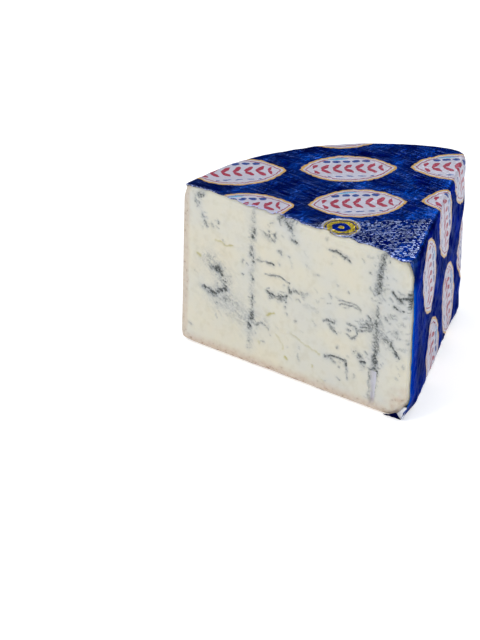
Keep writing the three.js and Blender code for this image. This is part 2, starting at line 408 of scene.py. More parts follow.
def field_print(material, turned):
    """The pointed fields: their inks, and 1 within their borders. Each has a gold rim and a thin
    dark red line inside it. In it lie a garland of red leaves in pairs, navy ovals above it under
    one sky-blue stroke, and grey-blue dashes below."""
    cell = add(material, "VectorMath", {0: turned, 1: FIELD_SHIFT + (0,)}, operation="SUBTRACT")
    cell = add(material, "VectorMath", {
        0: cell, 1: FIELD_ROOM + (1,), 2: (-FIELD_ROOM[0], -FIELD_ROOM[1], -1)}, operation="WRAP")
    folded = add(material, "VectorMath", {0: cell}, operation="ABSOLUTE")
    off_middle = add(material, "SeparateXYZ", {0: folded}, out="X")
    reach = add(material, "VectorMath", {0: folded, 1: (0, -FIELD_OFFSET, 0)},
                operation="DISTANCE", out="Value")
    border = add(material, "MapRange", {
        "Value": reach, "From Min": FIELD_RADIUS - BORDER_INSIDE,
        "From Max": FIELD_RADIUS + BORDER_OUTSIDE})
    inks = add(material, "ValToRGB", {"Fac": border}, stops=[
        (0.0, PALE_INK), (0.44, "#8A2238"), (0.53, PALE_INK), (0.68, "#BD9650"),
        (0.86, "#14307E")])
    inks.node.color_ramp.interpolation = "CONSTANT"
    inside = add(material, "Math", {0: reach, 1: FIELD_RADIUS}, operation="LESS_THAN")

    paired, beads = [
        add(material, "VectorMath", {
            0: cell, 1: (step, BEYOND_FIELD, 1), 2: (-step, -BEYOND_FIELD, -1)}, operation="WRAP")
        for step in (LEAF_STEP, BEAD_STEP)]
    mirrored = add(material, "VectorMath", {0: paired}, operation="ABSOLUTE")
    along = add(material, "SeparateXYZ", {0: paired}, out="X")
    height = add(material, "SeparateXYZ", {0: mirrored}, out="Y")
    leaves = add(material, "CombineXYZ", {0: along, 1: height})
    # Each motif is an oval: its middle, its turn in degrees and its half-sizes, how far along the
    # field it repeats, and its ink.
    for places, middle, turn, size, reaches, ink in (
            (leaves, (0.2, 2.6, 0), 50, (3.3, 1.35, 1), 18.1, "#96233A"),
            (beads, (0, 8.6, 0), 0, (2.1, 1.4, 1), 12.9, "#1E3A80"),
            (paired, (0, -9, 0), 0, (2.1, 0.6, 1), 11.9, "#4E5E90"),
            (cell, (-4, 11.6, 0), 6, (5.5, 0.8, 1), 12.0, "#5C9FC4")):
        oval = add(material, "Mapping", {
            0: places, 1: middle, 2: (0, 0, math.radians(turn)), 3: size}, vector_type="TEXTURE")
        oval = add(material, "VectorMath", {0: oval}, operation="LENGTH", out="Value")
        drawn = add(material, "Math", {0: oval, 1: 1.0}, operation="LESS_THAN")
        within = add(material, "Math", {0: off_middle, 1: reaches}, operation="LESS_THAN")
        drawn = add(material, "Math", {0: drawn, 1: within}, operation="MULTIPLY")
        inks = add(material, "Mix", {0: drawn, 6: inks, 7: linear(ink)}, data_type="RGBA", out=2)
    return inks, inside


def dash_print(material, turned, up_sheet, block):
    """The block's rows of fine pale dashes: how strongly they are drawn."""
    row = add(material, "VectorMath", {0: turned, 1: (0.01, DASH_ROW, 1)}, operation="SNAP")
    row = add(material, "VectorMath", {0: row, 1: DASH_GRAIN}, operation="MULTIPLY")
    dashes = add(material, "TexNoise", {"Vector": row, "Scale": 1.0, "Detail": 3.0})
    dashes = add(material, "Math", {0: dashes, 1: DASHES_FROM}, operation="GREATER_THAN")
    across_row = add(material, "Math", {0: up_sheet, 1: 0.0, 2: DASH_ROW}, operation="WRAP")
    across_row = add(material, "Math", {0: across_row, 1: DASH_HEIGHT}, operation="LESS_THAN")
    before = add(material, "Math", {0: up_sheet, 1: BLOCK_END}, operation="GREATER_THAN")
    for factor in (across_row, block, before, DASH_STRENGTH):
        dashes = add(material, "Math", {0: dashes, 1: factor}, operation="MULTIPLY")
    return dashes


def roundel_print(material, turned):
    """The plain rings at the start of the block: their inks, and 1 where they lie."""
    reach = add(material, "VectorMath", {0: turned, 1: ROUNDEL + (0,)},
                operation="DISTANCE", out="Value")
    rings = add(material, "MapRange", {"Value": reach, "From Max": ROUNDEL_RADIUS / ROUNDEL_EDGE})
    inks = add(material, "ValToRGB", {"Fac": rings}, stops=[
        (0.0, ROUNDEL_GOLD), (0.14, ROUNDEL_NAVY), (0.4, ROUNDEL_GOLD), (0.62, ROUNDEL_NAVY),
        (0.68, ROUNDEL_GOLD), (0.76, PALE_INK)])
    inks.node.color_ramp.interpolation = "CONSTANT"
    inside = add(material, "Math", {0: reach, 1: ROUNDEL_RADIUS}, operation="LESS_THAN")
    return inks, inside


def foil_material():
    """Aluminium foil under a blue lacquer: the metal shines through the lacquer, so creases flash
    brighter than the flat parts. The fields are opaque pale ink with a satin look. The sheet's
    places are in millimetres, so a noise's scale is its number of lumps in a millimetre."""
    material = new_material("blue lacquered aluminium foil")
    sheet = add(material, "UVMap", uv_map="sheet")
    flat = add(material, "VectorMath", {0: sheet, 1: (SHEET_UNIT, SHEET_UNIT, 0)},
               operation="MULTIPLY")
    # The sheet is crinkled, so its print wavers by about half a millimetre.
    waver = add(material, "TexNoise", {"Vector": flat, "Scale": 0.32, "Detail": 2.0}, out="Color")
    waver = add(material, "VectorMath", {0: waver, 1: (0.5, 0.5, 0.5)}, operation="SUBTRACT")
    place = add(material, "VectorMath", {
        0: waver, 1: (PRINT_WAVER, PRINT_WAVER, 0), 2: flat}, operation="MULTIPLY_ADD")
    turned = add(material, "VectorRotate", {"Vector": place, "Angle": -PRINT_TURN},
                 rotation_type="Z_AXIS")
    along_sheet, up_sheet = [
        add(material, "SeparateXYZ", {0: turned}, out=axis) for axis in "XY"]

    low = add(material, "Math", {0: up_sheet, 1: BLOCK_EDGE}, operation="LESS_THAN")
    from_fold = add(material, "VectorMath", {0: turned, 1: (1, FOLD_SLOPE, 0)},
                    operation="DOT_PRODUCT", out="Value")
    on_top = add(material, "Math", {0: from_fold, 1: FOLD_PLACE}, operation="LESS_THAN")
    block = add(material, "Math", {0: low, 1: on_top}, operation="MULTIPLY")
    fields, inside = field_print(material, turned)
    dashes = dash_print(material, turned, up_sheet, block)
    rings, at_roundel = roundel_print(material, turned)
    above = add(material, "Math", {0: up_sheet, 1: PLAIN_BELOW}, operation="GREATER_THAN")
    beyond = add(material, "Math", {0: along_sheet, 1: PLAIN_UP_TO}, operation="GREATER_THAN")
    not_plain = add(material, "Math", {0: above, 1: beyond}, operation="MAXIMUM")
    off_block = add(material, "Math", {0: 1.0, 1: block}, operation="SUBTRACT")
    for allowed in (not_plain, off_block):
        inside = add(material, "Math", {0: inside, 1: allowed}, operation="MULTIPLY")

    # Lacquer: deep blue, with painted clouds of reflection where the sheet tilts, and pale hairline
    # creases painted on as highlights, stronger on the sides. It is darker under the block.
    streaks = add(material, "Mapping", {0: flat, 2: (0, 0, CREASE_TURN), 3: (0.075, 0.9, 1)})
    streaks = add(material, "TexNoise", {
        "Vector": streaks, "Scale": 1.0, "Detail": 4.0, "Roughness": 0.6, "Distortion": 0.6})
    clouds = add(material, "TexNoise", {"Vector": flat, "Scale": 0.06, "Detail": 3.0})
    colour = add(material, "ValToRGB", {"Fac": clouds}, stops=[
        (0.38, "#071C4C"), (0.5, "#0D2A64"), (0.64, "#184290")])
    # Painted highlights along the hairline creases, stronger on the sides.
    crease_sheen = add(material, "ValToRGB", {"Fac": streaks}, stops=[(0.5, 0.0), (0.6, 0.2), (0.72, 0.55)])
    side_sheen_gain = add(material, "MapRange", {"Value": on_top, "To Min": 1.25, "To Max": 1.0})
    crease_sheen = add(material, "Math", {0: crease_sheen, 1: side_sheen_gain}, operation="MULTIPLY")
    darker = add(material, "Math", {0: block, 1: BLOCK_SHADE}, operation="MULTIPLY")

    # Where the sheet is drawn tight round the wedge's point, a purer blue is painted on as sheen.
    # The hem turned up under it gets painted shade, dark navy, and along the fresh cut on top a
    # bright hairline is painted on as a highlight, broken up by the edge's tears.
    painted_point_sheen, painted_hem_shade, painted_cut_glint = [
        add(material, "Attribute", attribute_name=name, out="Fac") for name in FOIL_PAINTED]
    tears = add(material, "TexNoise", {"Vector": flat, "Scale": 0.7, "Detail": 2.0})
    tears = add(material, "MapRange", {"Value": tears, "From Min": 0.45, "From Max": 0.6})
    painted_cut_glint = add(material, "Math", {0: painted_cut_glint, 1: tears}, operation="MULTIPLY")
    for amount, tint in (
            (crease_sheen, linear("#6F7BAE")), (darker, linear("#06174A")), (dashes, linear("#A3AECB")),
            (inside, fields), (at_roundel, rings), (painted_point_sheen, linear("#0C58B8")),
            (painted_hem_shade, linear("#040B33")), (painted_cut_glint, linear("#A9B4E6"))):
        colour = add(material, "Mix", {0: amount, 6: colour, 7: tint}, data_type="RGBA", out=2)
    metal = add(material, "MapRange", {"Value": inside, "To Min": 1.0, "To Max": 0.1})

    creases = add(material, "Bump", {"Height": streaks, "Strength": 0.6, "Distance": 0.5 * MM})
    # Crumpling: flat facets about 6 mm across that meet in sharp creases.
    facets = add(material, "VectorMath", {0: waver, 1: (FACET_WAVER, FACET_WAVER, 0), 2: flat},
                 operation="MULTIPLY_ADD")
    facets = add(material, "TexVoronoi", {"Vector": facets, "Scale": 0.16},
                 feature="F1", out="Distance")
    creases = add(material, "Bump", {
        "Height": facets, "Strength": 0.5, "Distance": 0.8 * MM, "Normal": creases})
    surface = add(material, "BsdfPrincipled", {
        "Base Color": colour, "Metallic": metal, "Roughness": 0.3, "Normal": creases,
        "Specular Tint": linear("#5678B4")})
    add(material, "OutputMaterial", {"Surface": surface})
    return material


def liner_material():
    """Greaseproof paper bonded to the inside of the foil: white, smooth and slightly shiny."""
    material = new_material("white greaseproof liner")
    surface = add(material, "BsdfPrincipled", {"Base Color": linear("#E4E6EC"), "Roughness": 0.4})
    add(material, "OutputMaterial", {"Surface": surface})
    return material


# ---------------------------------------------------------------------------------------------
# The foil wrapper
# ---------------------------------------------------------------------------------------------

FOIL_GRID = 1.15 * MM
FOIL_SHEET = 0.25 * MM
# Faces whose normal is at least this upright lie on the wrapper's top or base. The rim's and the
# base's print start at places of their own, in metres.
LEVEL_ENOUGH = 0.7
RIM_PRINT_SHIFT = 0.05
BASE_PRINT_SHIFT = (0, 0.4)
# The print is unrolled round the wedge's point within this drop below the top.
UNROLL_DROP = 10 * MM
# The solid's rim at the cut, told by how straight it looks forward and by how near the cut it is,
# gives way to a sheet that is drawn this far past the cut.
FRONT_FACING = 0.955
FRONT_DEPTH = 2.2 * MM
FRONT_REACH = 6 * MM
# How far behind the fresh cut the foil's edge lies, in millimetres: everywhere, at least, more
# over the top, under the base, at the rim, and at the wedge's point, where it is less at the top.
# It wanders slowly and is finely torn.
EDGE_BACK = 1.7
EDGE_LEAST = 0.4
EDGE_BACK_ON_TOP = 1.2
EDGE_BACK_AT_BASE = 2.2
EDGE_BACK_AT_RIM = 3.8
EDGE_BACK_AT_POINT = 2.9
EDGE_LESS_AT_POINT = 1.7
EDGE_WANDER = 3.0
EDGE_TEARS = 1.8
# How deep the creases, dents, pleats and crumples of the sheet are, and how far it rises as a
# whole, so that it stays in its place between them.
CREASE_DEPTH = 0.3 * MM
DENT_DEPTH = 0.6 * MM
SMALL_DENT_DEPTH = 0.3 * MM
PLEAT_DEPTH = 0.75 * MM
CRUMPLE_DEPTH = 0.7 * MM
SHEET_RISE = 0.4 * MM
# Creases and pleats are long and narrow, in millimetres.
CREASE_SIZE = (26, 7)
PLEAT_SIZE = (5, 30)
TOP_CROWN = 1.0 * MM
SIDE_LENGTH = 143 * MM
FAR_EDGE = POINT[:2] + SIDE_LENGTH * SIDE_WAY
# The far edge stands out this way, by this much at its foot and this much less at its top.
FAR_EDGE_WAY = (0.81, 0.59)
FAR_EDGE_OUT = 1.5 * MM
FAR_EDGE_LESS = 1.0 * MM
# Below this height, and from this far inside the wedge's point on, the sheet is drawn in by this
# share.
TUCK = 0.55
TUCK_FROM = 9 * MM
TUCK_HEIGHT = 12 * MM


def sheet_places(places, ways):
    """Where each place lies on the sheet before it was folded, in metres, from the face of the
    wedge that it is on: the sheet lies flat on the top and goes over its edges."""
    drop = (WRAP_TOP - places[:, 2])[:, None]
    flat = places[:, :2]
    outward = flat - WHEEL_AXIS[:2]
    away = np.linalg.norm(outward, axis=1)[:, None]
    on_side = (POINT - places) @ SIDE_NORMAL < (WHEEL_RADIUS - away)[:, 0]
    from_round = flat - ROUND_MIDDLE
    turned = np.arctan2(-(from_round @ SIDE_WAY), from_round @ SIDE_NORMAL[:2])
    along_side = np.where(turned > 0, ROUND_TANGENT - ROUND_RADIUS * turned,
                          (flat - POINT[:2]) @ SIDE_WAY)
    unrolled = POINT[:2] + along_side[:, None] * SIDE_WAY
    below_edge = ramp(drop, 0, UNROLL_DROP)
    down_side = flat + below_edge * (unrolled - flat) + drop * SIDE_NORMAL[:2]
    around = np.arctan2(outward[:, 1], outward[:, 0])[:, None]
    down_rim = np.hstack([WHEEL_RADIUS * around - RIM_PRINT_SHIFT, -drop])
    under = flat * (1, -1) + BASE_PRINT_SHIFT
    places = np.where(on_side[:, None], down_side, down_rim)
    places = np.where(ways[:, 2:] > LEVEL_ENOUGH, flat, places)
    return np.where(ways[:, 2:] < -LEVEL_ENOUGH, under, places)


def cut_edge(places):
    """How far behind the fresh cut the knife left the foil: it wanders, leaves the rounded edge at
    the wedge's point bare, and lies back under the base and at the rim, where the rind shows."""
    low = 1 - ramp(places[:, 2], 1.5 * MM, 6 * MM)
    at_rim = ((1 - ramp(places[:, 0], wrap_low.x + 1 * MM, wrap_low.x + 6 * MM))
              * (1 - ramp(places[:, 2], WRAP_TOP - 5 * MM, WRAP_TOP - 1 * MM)))
    height = places[:, 2] / WRAP_TOP
    upright = (ramp(places[:, 0], POINT[0] - 9 * MM, POINT[0] - 5 * MM)
               * ramp(height, 0.05, 0.15) * (1 - ramp(height, 0.9, 1)))
    over_top = (ramp(places[:, 2], WRAP_TOP - 6 * MM, WRAP_TOP - 2 * MM)
                * ramp(places[:, 0], POINT[0] - 95 * MM, POINT[0] - 75 * MM)
                * (1 - ramp(places[:, 0], POINT[0] - 26 * MM, POINT[0] - 14 * MM)))
    wander = EDGE_WANDER * lumps(places, 9 * MM, 3) + EDGE_TEARS * lumps(places, 3 * MM, 4)
    back = np.maximum(EDGE_BACK_AT_BASE * low, EDGE_BACK_AT_RIM * at_rim)
    back = np.maximum(back, (EDGE_BACK_AT_POINT - EDGE_LESS_AT_POINT * height) * upright)
    wander = EDGE_BACK + EDGE_BACK_ON_TOP * over_top + wander * (1 - 0.75 * upright)
    return (np.maximum(wander, EDGE_LEAST) + back) * MM


def wrinkles(places, ways):
    """How deep each place lies under the smooth sheet: shallow dents that meet in sharp creases,
    long creases along it, short pleats that gather it along its folds, and crumples."""
    sheet = np.hstack([sheet_places(places, ways), np.zeros((len(places), 1))])
    along = sheet[:, 0] * math.cos(CREASE_TURN) - sheet[:, 1] * math.sin(CREASE_TURN)
    across = sheet[:, 0] * math.sin(CREASE_TURN) + sheet[:, 1] * math.cos(CREASE_TURN)
    bent = np.column_stack([along / CREASE_SIZE[0], across / CREASE_SIZE[1],
                            np.zeros(len(sheet))])
    creases = CREASE_DEPTH * np.abs(lumps(bent, MM, 1.5))
    dents = (DENT_DEPTH * np.abs(lumps(places, 24 * MM, 9))
             + SMALL_DENT_DEPTH * np.abs(lumps(places, 10 * MM, 19)))
    from_top = WRAP_TOP - places[:, 2]
    wall = 1 - np.abs(ways[:, 2])
    near_fold = (1 - ramp(from_top, 2 * MM, 16 * MM)) * ramp(wall, 0.2, 0.8)
    pleats = np.column_stack([sheet[:, 0] / PLEAT_SIZE[0], sheet[:, 1] / PLEAT_SIZE[0],
                              places[:, 2] / PLEAT_SIZE[1]])
    gathered = PLEAT_DEPTH * near_fold * np.abs(lumps(pleats, MM, 5))
    # The other cut's side was pressed together by hand, so it is crumpled more finely.
    on_side = ramp(ways @ SIDE_NORMAL, 0.5, 0.9)
    crumples = CRUMPLE_DEPTH * on_side * np.abs(lumps(places, 6 * MM, 27))
    return creases + dents + gathered + crumples - SHEET_RISE


def join_flap(piece, inner, outer):
    """Joins a flap to the sheet: a fine strip between two lines, each given by its points in
    millimetres from the foot of the wedge's point. The foil's outside is where they turn left."""
    bpy.ops.object.select_all(action="DESELECT")
    bpy.ops.mesh.primitive_grid_add(x_subdivisions=16, y_subdivisions=6, size=1, calc_uvs=False)
    flap = bpy.context.object
    places = read(flap.data.vertices, "co") + 0.5
    lines = [np.column_stack([np.interp(places[:, 0], np.linspace(0, 1, len(line)), values)
                              for values in np.array(line, float).T]) for line in (inner, outer)]
    between = lines[0] + places[:, 1:2] * (lines[1] - lines[0])
    between[:, 1] += 0.5 * lumps(between, 2.5, 31)
    move_points(flap.data, POINT + between * MM)
    piece.select_set(True)
    bpy.context.view_layer.objects.active = piece
    bpy.ops.object.join()


# The hem turned up under the wedge's point, and beside it the sheet's corner that stands open and
# shows its white inside.
HEM_LOW = [(-16.4, 1.2, 0.3), (-12.8, 1.8, 0.3), (-9.3, 1.9, 0.3), (-5.9, 1.8, 0.3)]
HEM_TOP = [(-15.8, 0.6, 0.9), (-11.4, 0.3, 2.3), (-8.0, 0.4, 4.4), (-5.7, 1.5, 0.6)]
EAR_INNER = [(-10.4, 4.5, 1.9), (-9.3, 4.5, 3.0), (-8.1, 4.5, 4.1), (-6.9, 4.5, 5.2),
             (-5.6, 4.5, 6.8)]
EAR_OUTER = [(-6.0, 2.5, 0.3), (-4.6, 2.5, 0.9), (-3.9, 2.5, 3.2), (-3.5, 2.5, 5.2),
             (-2.4, 2.5, 8.4)]
# The hem is the part of the sheet this near the cut and this low.
HEM_DEPTH = 2.15 * MM
HEM_HEIGHT = 4.6 * MM


def smooth_shell():
    """The wrapper's outside alone, drawn forward past the cut, evenly meshed and relaxed."""
    piece = copy_of_node("foil_wrap", "foil_wrapper")
    centres, ways = read(piece.data.polygons, "center"), read(piece.data.polygons, "normal")
    inner = np.einsum("ij,ij->i", ways, centres - MIDDLE) < 0
    front = (ways[:, 1] < -FRONT_FACING) & (centres[:, 1] < CUT_Y + FRONT_DEPTH)
    pick_faces(piece, inner | front)
    bpy.ops.mesh.delete(type="FACE")
    bpy.ops.mesh.select_mode(type="EDGE")
    bpy.ops.mesh.select_all(action="DESELECT")
    bpy.ops.mesh.select_non_manifold(extend=False)
    bpy.ops.mesh.extrude_edges_move(TRANSFORM_OT_translate={"value": (0, -FRONT_REACH, 0)})
    bpy.ops.mesh.edge_face_add()
    bpy.ops.mesh.select_all(action="SELECT")
    bpy.ops.mesh.normals_make_consistent(inside=False)
    bpy.ops.object.mode_set(mode="OBJECT")
    finish_with(piece, "REMESH", mode="VOXEL", voxel_size=FOIL_GRID, use_smooth_shade=True)
    behind_cut = read(piece.data.vertices, "co")[:, 1] - CUT_Y
    soften(piece, ramp(behind_cut, 3 * MM, 16 * MM), 9)
    return piece


def creased_places(mesh):
    """Where the shell's points go: into its creases, over the crown of its top, out at its far
    edge and in at the wedge's point."""
    places, ways = read(mesh.vertices, "co"), read(mesh.vertex_normals, "vector")
    behind_cut = places[:, 1] - CUT_Y
    depth, snug = wrinkles(places, ways), 1 - ramp(behind_cut, 2 * MM, 9 * MM)
    depth += snug * (np.minimum(depth, 0) - depth)
    places -= ways * depth[:, None]
    crown = ramp(places[:, 1], CUT_Y, MIDDLE[1]) * ramp(places[:, 2], 0.5 * WRAP_TOP, WRAP_TOP)
    places[:, 2] += TOP_CROWN * crown
    to_edge = np.linalg.norm(places[:, :2] - FAR_EDGE, axis=1)
    stand_out = ((FAR_EDGE_OUT - FAR_EDGE_LESS * places[:, 2] / WRAP_TOP)
                 * (1 - ramp(to_edge, 5 * MM, 32 * MM)))
    places[:, :2] += stand_out[:, None] * FAR_EDGE_WAY
    places[:, 2] -= top_wear(places)
    # The lowest corner is tucked in under the wedge's point, and the rest lies on the floor.
    low = 1 - ramp(places[:, 2], 0, TUCK_HEIGHT)
    places[:, 0] -= TUCK * low * np.maximum(0, places[:, 0] - POINT[0] + TUCK_FROM)
    places[:, 2] = np.maximum(places[:, 2], 0)
    return places


def cut_through(piece, places):
    """Cuts the sheet along its wandering edge: the cut is flat, and made while the sheet is drawn
    forward by as much as its edge wanders."""
    mesh = piece.data
    kept = mesh.attributes.new("kept", "FLOAT_VECTOR", "POINT")
    kept.data.foreach_set("vector", places.astype(np.float32).ravel())
    places[:, 1] -= cut_edge(places)
    move_points(mesh, places)
    only(piece)
    bpy.ops.object.mode_set(mode="EDIT")
    bpy.ops.mesh.select_all(action="SELECT")
    bpy.ops.mesh.bisect(plane_co=(0, CUT_Y, 0), plane_no=(0, 1, 0), clear_inner=True)
    bpy.ops.object.mode_set(mode="OBJECT")
    kept = mesh.attributes["kept"]
    places = read(kept.data, "vector")
    mesh.attributes.remove(kept)
    move_points(mesh, places)


def paint_foil(mesh):
    """Marks painted sheen at the tight point, painted shade on the hem, painted highlight at the
    cut."""
    places = read(mesh.vertices, "co")
    behind_cut = places[:, 1] - CUT_Y
    upright = (ramp(places[:, 0], POINT[0] - 12 * MM, POINT[0] - 6 * MM)
               * (1 - ramp(places[:, 2], WRAP_TOP - 26 * MM, WRAP_TOP - 8 * MM))
               * ramp(places[:, 2], 7 * MM, 11 * MM))
    on_top = ramp(places[:, 2], WRAP_TOP - 3 * MM, WRAP_TOP - 1 * MM)
    # Painted sheen round the point, painted shade on the hem, a painted highlight along the cut.
    values = (0.8 * upright * (1 - ramp(behind_cut, 8 * MM, 19 * MM)),
              (behind_cut < HEM_DEPTH) & (places[:, 2] < HEM_HEIGHT),
              on_top * (1 - ramp(behind_cut - cut_edge(places), 0.2 * MM, 1.6 * MM)))
    for name, value in zip(FOIL_PAINTED, values):
        paint(mesh, name, value)


def lay_print(mesh):
    """Gives each corner of a face its place on the sheet, in sheet units."""
    corners = read(mesh.loops, "vertex_index", 1).astype(int)[:, 0]
    corner_counts = read(mesh.polygons, "loop_total", 1).astype(int)[:, 0]
    faces = np.repeat(np.arange(len(mesh.polygons)), corner_counts)
    ways = read(mesh.polygons, "normal")
    layer = mesh.uv_layers.new(name="sheet")
    places = sheet_places(read(mesh.vertices, "co")[corners], ways[faces]) / (SHEET_UNIT * MM)
    layer.data.foreach_set("uv", places.astype(np.float32).ravel())


def foil_wrapper():
    """The sheet round the cheese: foil outside and liner inside, cut through at the fresh cut."""
    piece = smooth_shell()
    cut_through(piece, creased_places(piece.data))
    join_flap(piece, HEM_LOW, HEM_TOP)
    join_flap(piece, EAR_INNER, EAR_OUTER)
    paint_foil(piece.data)
    lay_print(piece.data)
    piece.data.materials.append(foil_material())
    piece.data.materials.append(liner_material())
    finish_with(piece, "SOLIDIFY", thickness=FOIL_SHEET, offset=-1, material_offset=1,
                material_offset_rim=0)
    bpy.ops.object.shade_smooth()
    return piece


# ---------------------------------------------------------------------------------------------
# The cheese
# ---------------------------------------------------------------------------------------------

PASTE_GRID = 2.0 * MM
# The cut and its rounded borders lie within this depth, and each edge there is cut this often.
CUT_REACH = 9 * MM
EDGE_CUTS = 3
# Faces that look at least this much forward get the finer mesh, and such points get the marks.
FACES_FORWARD = 0.3
POINTS_FORWARD = 0.2
# Next to the cut the cheese swells out to fill the wrapper, further back it shrinks from it, and
# at the bare rim it bulges.
SWELL = 0.75 * MM
SHRINK = 1.6 * MM
RIM_BULGE = 1.1 * MM
# The worn foot: its middle's height and its reach, the same of the rind that shows round it, and
# how far it is drawn in and up.
FOOT_WEAR = (3 * MM, 11 * MM)
FOOT_RIND = (8 * MM, 14 * MM)
FOOT_TUCK = 0.2 * MM
FOOT_LIFT = 1.9 * MM
# Where the cut's rounded borders start or end, and where the rind begins to show and shows
# wholly, in millimetres like the marks.
POINT_BORDER = (9.5, 12)
BASE_BORDER = (3, 5)
TOP_BORDER = (86, 88.5)
RIM_BORDER = (139, 141)
RIM_RIND = (139.5, 142)
# Along the base the rind's tint reaches further up the cut as painted shade towards the floor.
BASE_RIND_AND_SHADE = (2, 8.5)
OUTER_SKIN = (0.9, 1.8)
# Depths on the cut, in millimetres.
CUT_DEPTH = 0.3
MOULD_DEPTH = 0.55
CRACK_DEPTH = 0.35
BUTTER_DEPTH = 0.4
FLAKE_HEIGHT = 0.8
# Cracks up to this wide are drawn evenly, and up to this fine more nearly straight.
EVEN_UP_TO = 0.85
STRAIGHT_UP_TO = 0.55

# All marks on the cut are drawn from this place a little smaller than they are listed.
MARKS_FROM = (65, 130)
MARKS_SCALE = 0.985

# Mould on the fresh cut: how dark, how wide, and the points that each vein runs through, as
# millimetres from the wedge's point and above the floor.
NEEDLE_VEINS = [
    (0.75, 2.3, (18.6, 88), (19.4, 84), (20.4, 78)),
    (0.9, 2.0, (20.2, 79), (21.4, 68)),
    (1.0, 1.2, (21, 72), (21.4, 67)),
    (0.5, 0.7, (23.4, 65.4), (25.5, 67), (26.8, 68.4)),
    (0.45, 0.8, (16.3, 71.5), (18, 69)),
    (0.5, 1.6, (21, 59), (20.8, 53)),
    (0.7, 2.4, (21, 53), (21.4, 44)),
    (0.9, 1.3, (21.6, 51), (21.2, 44)),
    (0.75, 2.0, (21.2, 44), (21.4, 33.2)),
    (0.9, 1.6, (21.2, 33.2), (22.2, 23.3)),
    (0.75, 0.85, (20.6, 44), (20.6, 33.2), (21.7, 23.4)),
    (0.75, 0.85, (21.9, 42), (21.9, 33.2), (22.8, 23.4)),
    (1.1, 0.7, (21.2, 31), (21.8, 29.4)), (1.1, 0.7, (21.2, 27.4), (22.6, 23.6)),
    (0.7, 0.8, (30.1, 46.3), (25.2, 47.7), (22, 46.5)),
    (0.75, 0.8, (31.2, 44.2), (24.5, 46.2)),
    (0.7, 0.8, (32.7, 41.7), (29.9, 42.5), (24.4, 44.2)),
    (0.75, 0.9, (26.6, 52), (25, 49.5), (23.3, 47.2)),
    (0.45, 2.4, (18.9, 46.9), (16.2, 42.6)),
    (1.1, 1.0, (20, 22.3), (24.6, 22)),
    (0.55, 0.6, (25.2, 21.5), (25, 14), (24.4, 3)),
    (0.8, 0.6, (19.9, 22.5), (20.3, 17)), (0.45, 0.6, (20.3, 17), (21.3, 3)),
    (0.3, 2.0, (101, 88), (100, 72)),
    (0.9, 1.5, (100, 78.5), (100.6, 74)),
    (0.9, 1.3, (101.4, 67), (101, 63)),
    (1.0, 1.0, (99.8, 61.4), (99.7, 60)),
    (0.6, 1.1, (101.4, 51.4), (99.7, 49)),
    (0.8, 1.1, (99.8, 40), (100, 35)),
    (1.0, 1.5, (99, 29.5), (101, 25), (101.2, 20)),
    (0.4, 1.2, (101.6, 15.5), (101.7, 9)),
    (0.28, 2.2, (101, 84), (100.4, 60), (100.4, 10)),
    (0.4, 1.7, (100.4, 38), (100.6, 20)),
]
